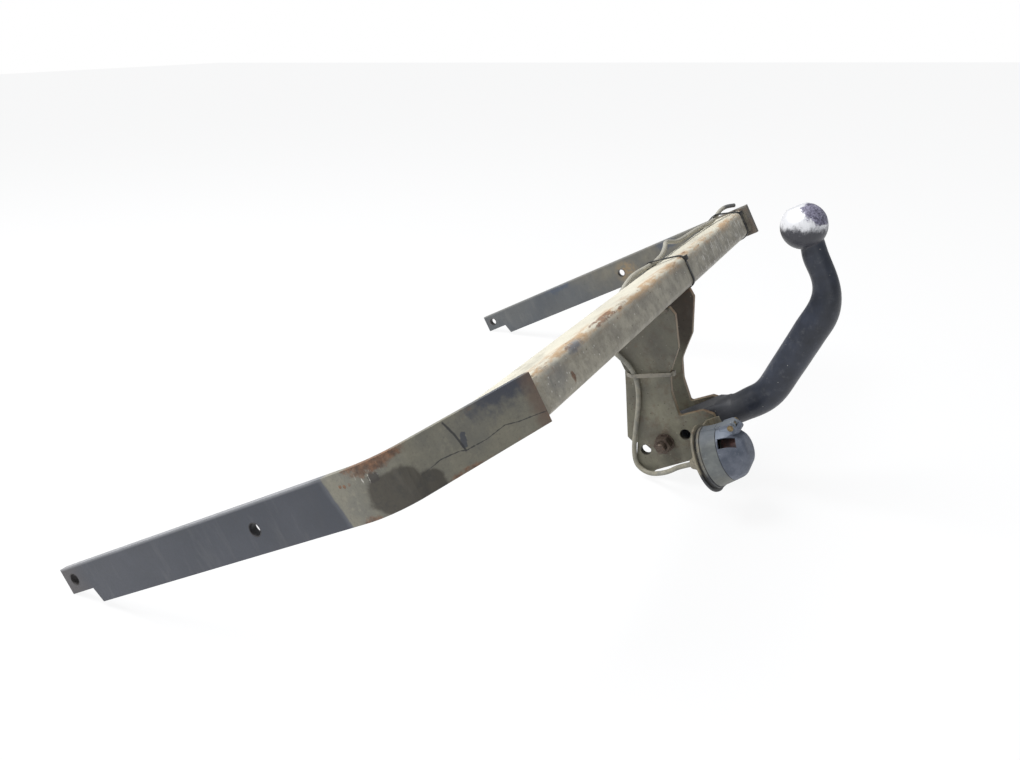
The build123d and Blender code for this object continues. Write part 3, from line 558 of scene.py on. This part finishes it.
def moulded(name, color, dust_tone, roughness, dust):
    """Rubber or plastic with a film of dust; dust is how much of it, from 0 to 1."""
    finish = Finish(name)
    film = finish.noise(6, 5, 0.65)
    coat = finish.mix(film.rise(0.75 - dust, 1.05 - dust) * 0.8, color, dust_tone)
    height = finish.noise(0.7, 3) * 0.5 + film * 0.4
    return finish.surface(coat, film * 0.2 + (roughness - 0.1), height, 0.3, 0.0003)


def cable_finish():
    """Grey sheath with beige dust and scuffs, a painted highlight higher up on the beam where the light
    falls, and dark where it ends.
    """
    finish = Finish("cable_jacket")
    film = finish.noise(11, 5, 0.6)
    coat = finish.mix(film.rise(0.3, 0.7), tone(112, 111, 104), tone(142, 138, 124))
    coat = finish.mix(finish.noise(3, 4, 0.7).rise(0.58, 0.74) * 0.5, coat, tone(82, 80, 74))
    # Painted highlight: the cable is painted paler higher up, on the beam, where the light falls.
    coat = finish.mix(finish.z.rise(-10, 20) * 0.5, coat, tone(178, 174, 162))
    low = finish.z.rise(-30, -120) * finish.noise(20).rise(0.3, 0.6)
    coat = finish.mix(low * 0.4, coat, tone(122, 116, 96))
    end = finish.apart(cable_route[-1]).rise(26, 20)
    coat = finish.mix(end * 0.8, coat, tone(70, 72, 78))
    height = film * 0.4 + finish.noise(0.8, 3) * 0.4
    return finish.surface(coat, film * 0.2 + 0.5, height, 0.25, 0.0003)


left_arm_paint = paint(
    "left_arm_paint", left_arm_color, left_arm_rust, streak=0.08, wear=0.55, holes=arm_holes
)
right_arm_paint = paint("right_arm_paint", right_arm_color, right_arm_rust, holes=arm_holes)
beam_paint = paint("beam_paint", beam_color, beam_rust, streak=0.12, wear=0.4)
fork_paint = paint(
    "fork_paint", fork_color, fork_rust, edge_tone=tone(148, 128, 102), roughness=0.6, holes=fork_holes
)
weld_steel = paint("weld_steel", weld_color, weld_rust)
neck_coating = neck_finish()
bracket_steel = bracket_finish()
nut_steel = steel("nut_steel", tone(98, 87, 78), tone(74, 64, 57), 0.3)
screw_steel = steel("screw_steel", tone(132, 130, 124), tone(104, 96, 84), 0.35)
pin_steel = steel("pin_steel", tone(154, 135, 99), tone(114, 99, 74), 0.25, roughness=0.4)
contact_brass = steel("contact_brass", tone(206, 170, 96), tone(160, 124, 64), 0.05, roughness=0.3)
housing_plastic = socket_finish("housing_plastic", tone(120, 123, 120), tone(98, 102, 102), 0.85)
lid_plastic = socket_finish("lid_plastic", tone(104, 109, 120), tone(74, 80, 92), 0.1)
gasket_rubber = moulded("gasket_rubber", tone(44, 43, 42), tone(100, 94, 82), 0.75, 0.3)
seal_rubber = moulded("seal_rubber", tone(36, 36, 36), tone(84, 80, 74), 0.7, 0.3)
boot_rubber = moulded("boot_rubber", tone(96, 92, 82), tone(140, 132, 114), 0.7, 0.5)
carrier_plastic = moulded("carrier_plastic", tone(40, 41, 43), tone(84, 80, 74), 0.5, 0.25)
tie_nylon = moulded("tie_nylon", tone(40, 41, 42), tone(108, 104, 94), 0.5, 0.3)
dusty_nylon = moulded("dusty_nylon", tone(96, 94, 88), tone(134, 128, 114), 0.6, 0.5)

# Trailer cable, on the same route as its solid, in the car's frame
cable_route = [
    (-71, 20.98, -198.63), (-69.5, 38, -198), (-60, 57, -204), (-47, 75, -208), (-36, 92, -209.5),
    (-33, 103.1, -202.8), (-32.3, 108, -190.7), (-32.3, 101.5, -172), (-32.3, 88, -149),
    (-32.5, 74, -127), (-32.8, 63.5, -107), (-34, 57.5, -88), (-38.5, 56.5, -70), (-43.5, 62.5, -52),
    (-43, 69, -38), (-38, 66, -20), (-27, 48, 2), (-10, 33, 18), (14, 27, 24.5), (42, 21, 23.4),
    (72, 15, 23.4), (98, 14.5, 26), (118, 14, 32), (134, 17, 37), (148, 16, 33.5), (168, 15.5, 28.5),
    (196, 14.6, 27), (240, 13, 27), (282, 9, 25.5), (316, 4.6, 23.6), (334, 1, 28.5), (348, -4, 33),
    (362, -11, 33), (373, -18, 29),
]
cable_jacket = cable_finish()
cable_line = bpy.data.curves.new("trailer_cable", "CURVE")
cable_line.dimensions = "3D"
cable_line.resolution_u = 10
cable_line.bevel_depth = 0.003
cable_line.bevel_resolution = 6
cable_line.use_fill_caps = True
route = cable_line.splines.new("NURBS")
route.points.add(len(cable_route) - 1)
for point, place in zip(route.points, cable_route):
    point.co = (*(car @ Vector(place)), 1)
route.order_u = 3
route.use_endpoint_u = True
route.use_smooth = True
cable_line.materials.append(cable_jacket)
cable = bpy.data.objects.new("trailer_cable", cable_line)
bpy.context.scene.collection.objects.link(cable)
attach(cable, "towbar")
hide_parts("socket_cable")

# Modelling: angles in degrees, lengths in millimetres
flat_within = 0.3
rounded_from = 40
sharp_from = 35
small_face = 60
plates = ("left_fork_plate", "right_fork_plate")


def angle_over(edge, least):
    """True where an edge between two faces turns more than least degrees."""
    return len(edge.link_faces) == 2 and edge.calc_face_angle(0) > math.radians(least)


def merged_copy(node):
    """A solid's mesh in the car's frame, with its triangles joined into faces."""
    bm = bmesh.new()
    bm.from_mesh(frame["nodes"][node].data)
    bmesh.ops.transform(bm, matrix=car.inverted(), verts=bm.verts)
    bmesh.ops.remove_doubles(bm, verts=bm.verts, dist=0.002)
    bmesh.ops.dissolve_limit(
        bm, angle_limit=math.radians(flat_within), verts=bm.verts, edges=bm.edges
    )
    return bm


def softened(node, width):
    """A copy of a solid with rounded edges; they and the plates' rims are marked for wear."""
    bm = merged_copy(node)
    rounded = bmesh.ops.bevel(
        bm, geom=[edge for edge in bm.edges if angle_over(edge, rounded_from)], offset=width,
        offset_type="OFFSET", affect="EDGES", segments=2, profile=0.5, material=-1, clamp_overlap=True,
    )
    rounds = set(rounded["faces"])
    edge = bm.faces.layers.float.new("edge")
    for face in bm.faces:
        rim = node in plates and abs(face.normal.x) < 0.3
        face[edge] = 1 if face in rounds or rim else 0
        face.smooth = face in rounds or face.calc_area() < small_face
    return bm


def dressed(node, material, width):
    """A finished piece in a solid's place, in metres, riding on the solid's body."""
    bm = softened(node, width)
    bmesh.ops.transform(bm, matrix=car, verts=bm.verts)
    for edge in bm.edges:
        if angle_over(edge, sharp_from):
            edge.smooth = False
    name = node + "_dressed"
    shape = bpy.data.meshes.new(name)
    bm.to_mesh(shape)
    bm.free()
    if "custom_normal" in shape.attributes:
        shape.attributes.remove(shape.attributes["custom_normal"])
    shape.materials.append(material)
    piece = bpy.data.objects.new(name, shape)
    bpy.context.scene.collection.objects.link(piece)
    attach(piece, "lid" if node in frame["record"]["behaviour"]["bodies"]["lid"] else "towbar")
    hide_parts(node)


# Each solid with its finish and how far its edges are rounded
dressed("left_arm", left_arm_paint, 0.9)
dressed("right_arm", right_arm_paint, 0.9)
dressed("cross_beam", beam_paint, 0.5)
dressed("left_fork_plate", fork_paint, 1.0)
dressed("right_fork_plate", fork_paint, 1.0)
dressed("socket_bracket", bracket_steel, 0.4)
dressed("left_arm_weld", beam_paint, 0.6)
dressed("right_arm_weld", weld_steel, 0.6)
dressed("fork_welds", weld_steel, 0.6)
dressed("swan_neck", neck_coating, 0.5)
dressed("neck_bolt", nut_steel, 0.5)
dressed("neck_nut", nut_steel, 0.5)
dressed("neck_washers", nut_steel, 0.3)
dressed("flange_screws", screw_steel, 0.4)
dressed("flange_nuts", screw_steel, 0.3)
dressed("socket_gasket", gasket_rubber, 0.3)
dressed("socket_housing", housing_plastic, 0.4)
dressed("contact_carrier", carrier_plastic, 0.3)
dressed("contact_sleeves", contact_brass, 0.1)
dressed("lid_hinge_pin", pin_steel, 0.3)
dressed("cable_boot", boot_rubber, 0.3)
dressed("left_beam_tie", tie_nylon, 0.2)
dressed("right_beam_tie", tie_nylon, 0.2)
dressed("fork_tie", dusty_nylon, 0.2)
dressed("socket_lid", lid_plastic, 0.5)
dressed("lid_seal", seal_rubber, 0.3)

# The spring keeps its solid's shape
frame["nodes"]["lid_spring"].data.materials.clear()
frame["nodes"]["lid_spring"].data.materials.append(pin_steel)


# Floor, sky and lamps
def floor_finish():
    """White as the camera, metal and glass see it; the object's shadow stays on it."""
    material = bpy.data.materials.new("floor_white")
    nodes = Nodes(material)
    matt = nodes.node("ShaderNodeBsdfDiffuse", {}, {"Color": (0.86, 0.87, 0.9, 1)})
    glow = nodes.node("ShaderNodeEmission", {}, {"Strength": 1})
    glowing = nodes.seen_by("Camera", "Glossy", "Transmission") * 0.9
    mixed = nodes.node("ShaderNodeMixShader", {}, {0: glowing, 1: matt, 2: glow})
    nodes.node("ShaderNodeOutputMaterial", {}, {"Surface": mixed})
    return material


bm = bmesh.new()
bmesh.ops.create_grid(bm, x_segments=1, y_segments=1, size=14)
floor_mesh = bpy.data.meshes.new("floor")
bm.to_mesh(floor_mesh)
bm.free()
floor_mesh.materials.append(floor_finish())
floor = bpy.data.objects.new("floor", floor_mesh)
bpy.context.scene.collection.objects.link(floor)

sky = bpy.data.worlds.new("sky")
bpy.context.scene.world = sky
air = Nodes(sky)
soft = air.node("ShaderNodeBackground", {}, {"Color": (0.93, 0.96, 1.0, 1), "Strength": 0.42})
white = air.node("ShaderNodeBackground", {}, {"Color": (1, 1, 1, 1), "Strength": 1})
mixed = air.node("ShaderNodeMixShader", {}, {0: air.seen_by("Camera", "Transmission"), 1: soft, 2: white})
air.node("ShaderNodeOutputWorld", {}, {"Surface": mixed})


def soft_light(name, place, size, power):
    """A round lamp that faces the towbar's middle."""
    lamp = bpy.data.lights.new(name, "AREA")
    lamp.shape = "DISK"
    lamp.size = size
    lamp.energy = power
    light = bpy.data.objects.new(name, lamp)
    aim = (Vector((0, 0, 0.15)) - Vector(place)).to_track_quat("-Z", "Y").to_matrix().to_4x4()
    light.matrix_world = Matrix.Translation(place) @ aim
    bpy.context.scene.collection.objects.link(light)


soft_light("high_light", (-0.7, 1.3, 2.5), 1.6, 105)
soft_light("low_light", (-2.6, -1.6, 1.2), 2.2, 10)
bpy.context.scene.view_settings.view_transform = "Standard"
